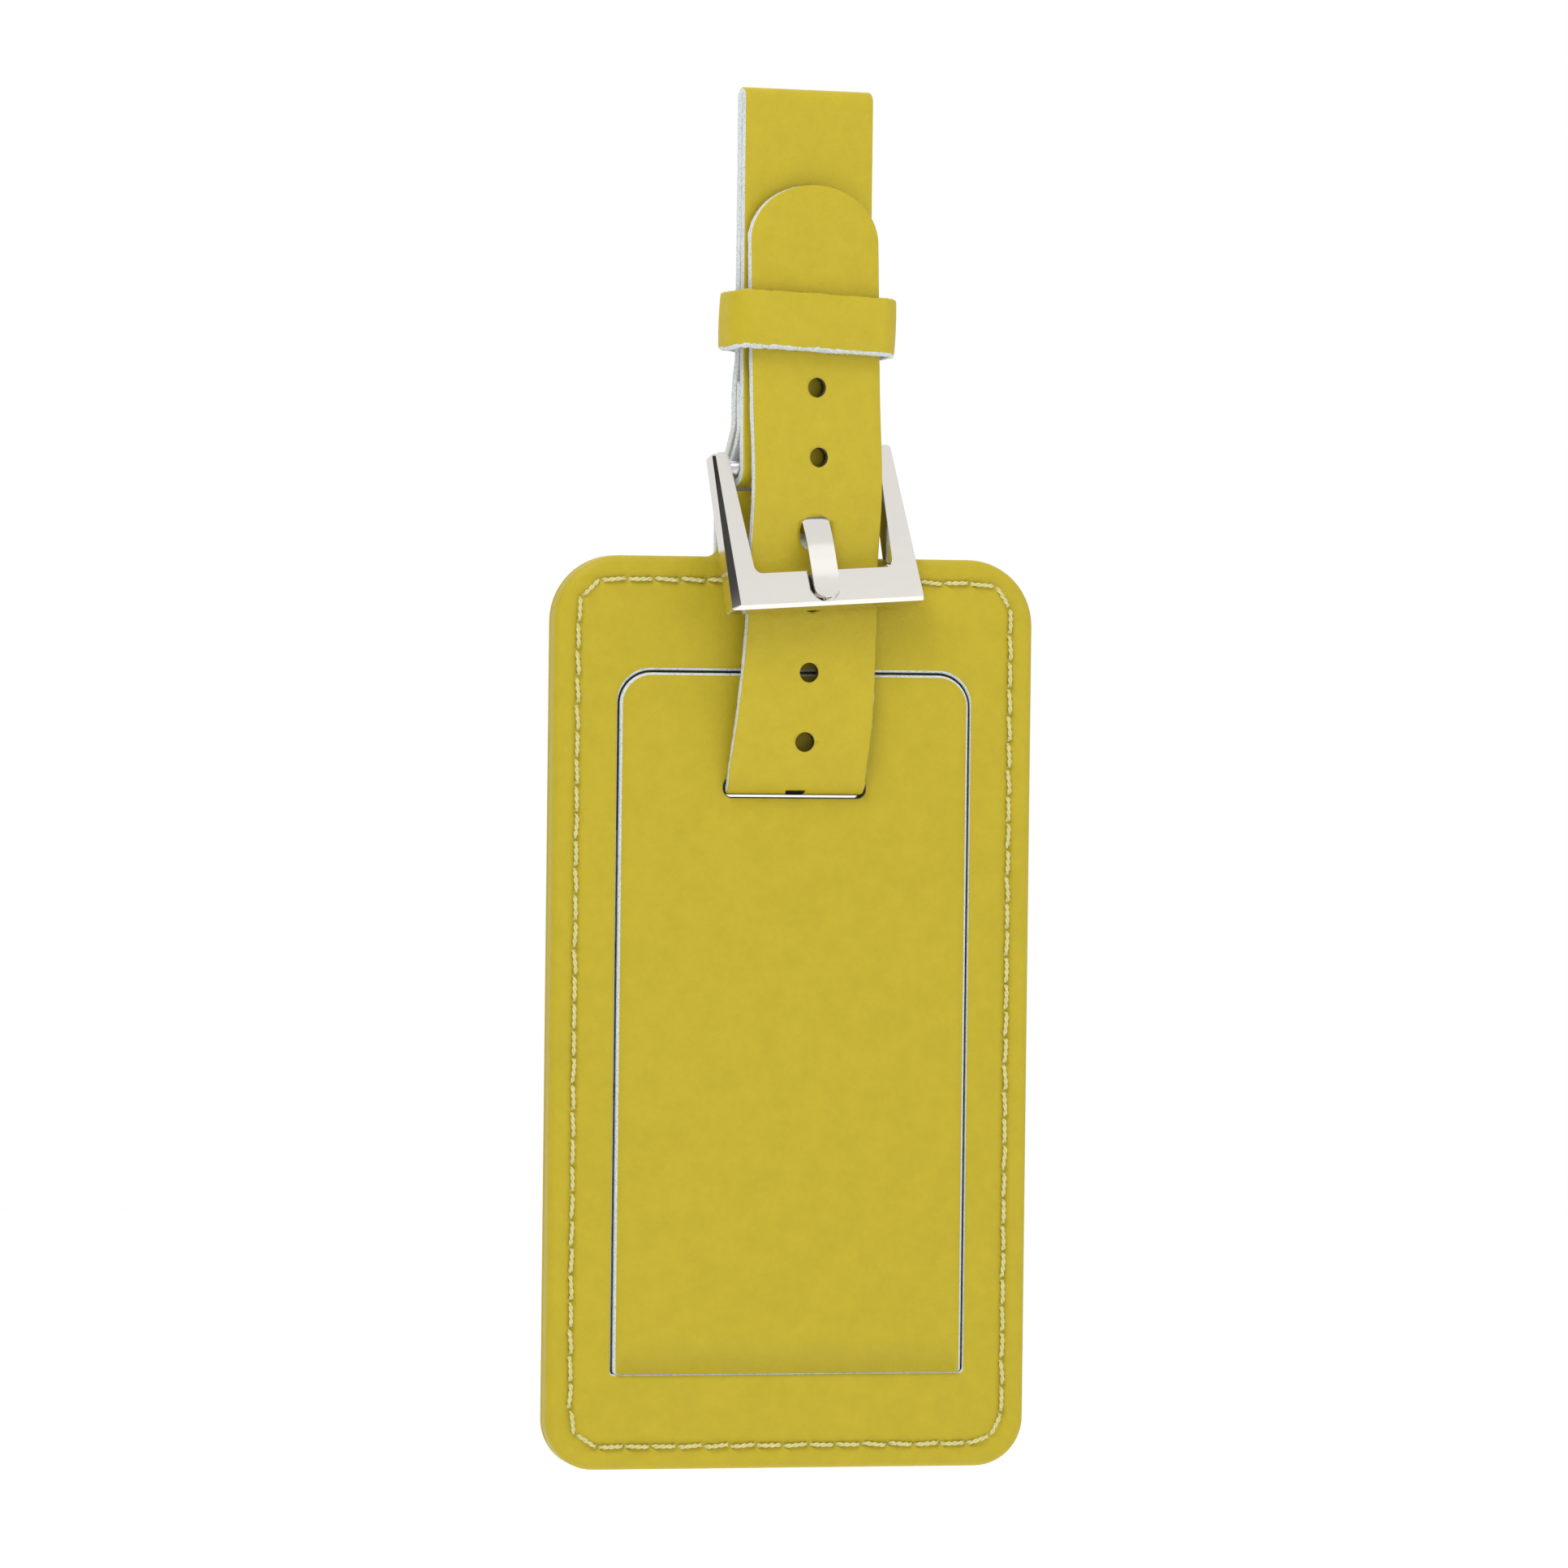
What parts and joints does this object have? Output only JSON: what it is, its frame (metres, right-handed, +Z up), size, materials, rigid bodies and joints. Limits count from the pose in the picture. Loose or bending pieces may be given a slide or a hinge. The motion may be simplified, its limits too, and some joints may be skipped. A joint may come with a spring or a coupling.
{
  "type": "luggage tag",
  "caption": "Leather luggage tag with a flap over an address card, hung on a buckled strap with a keeper and a punched, rounded tip.",
  "frame": {"origin": "inside of the strap's top fold, where a bag handle bears; the tag hangs below it", "axes": "+Z up, +X to the right seen from the front, -Y towards the front; the tag lies square to the axes and the strap's loop is turned 12 degrees about Z"},
  "size_m": [0.0574, 0.0184, 0.161],
  "materials": {
    "tag_leather": "matt pigmented citron grain",
    "strap_leather": "matt pigmented citron grain, raw pale cut edges",
    "thread": "twisted waxed thread",
    "nickel": "polished nickel plate",
    "steel": "plain steel wire",
    "board": "matt fibre board",
    "clear_sheet": "clear flexible sheet",
    "card": "matt paper card"
  },
  "bodies": {
    "strap_loop": {"strap": "strap_leather", "turn_back_thread": "thread"},
    "keeper_band": {"keeper": "strap_leather", "keeper_thread": "thread"},
    "buckle": {"buckle_frame": "nickel", "heel_pin": "steel"},
    "buckle_prong": {"prong": "nickel"},
    "tag": {"front_panel": "tag_leather", "back_panel": "tag_leather", "stiffener_board": "board", "window_sheet": "clear_sheet", "address_card": "card", "seam_thread_front": "thread", "seam_thread_back": "thread"},
    "flap": {"privacy_flap": "tag_leather"}
  },
  "joints": [
    {"name": "tag_swing", "type": "hinge", "parent": "strap_loop", "child": "tag", "pos_m": [0, 0.0036, -0.0804], "axis": [1, 0, 0], "range_deg": [-1, 0]},
    {"name": "flap_hinge", "type": "hinge", "parent": "tag", "child": "flap", "pos_m": [0, 0.0012, -0.1487], "axis": [1, 0, 0], "range_deg": [0, 150], "stiffness_Nm_per_rad": 0.006},
    {"name": "keeper_slide", "type": "slide", "parent": "strap_loop", "child": "keeper_band", "axis": [0, 0, 1], "range_m": [-0.001, 0.008]},
    {"name": "frame_pivot", "type": "hinge", "parent": "strap_loop", "child": "buckle", "pos_m": [0.00031, 0.00083, -0.0426], "axis": [0.9763, 0.2075, 0.061], "range_deg": [-2, 0]},
    {"name": "prong_pivot", "type": "hinge", "parent": "buckle", "child": "buckle_prong", "pos_m": [0.00031, 0.00083, -0.0426], "axis": [0.9763, 0.2075, 0.061], "range_deg": [-2, 0]}
  ]
}
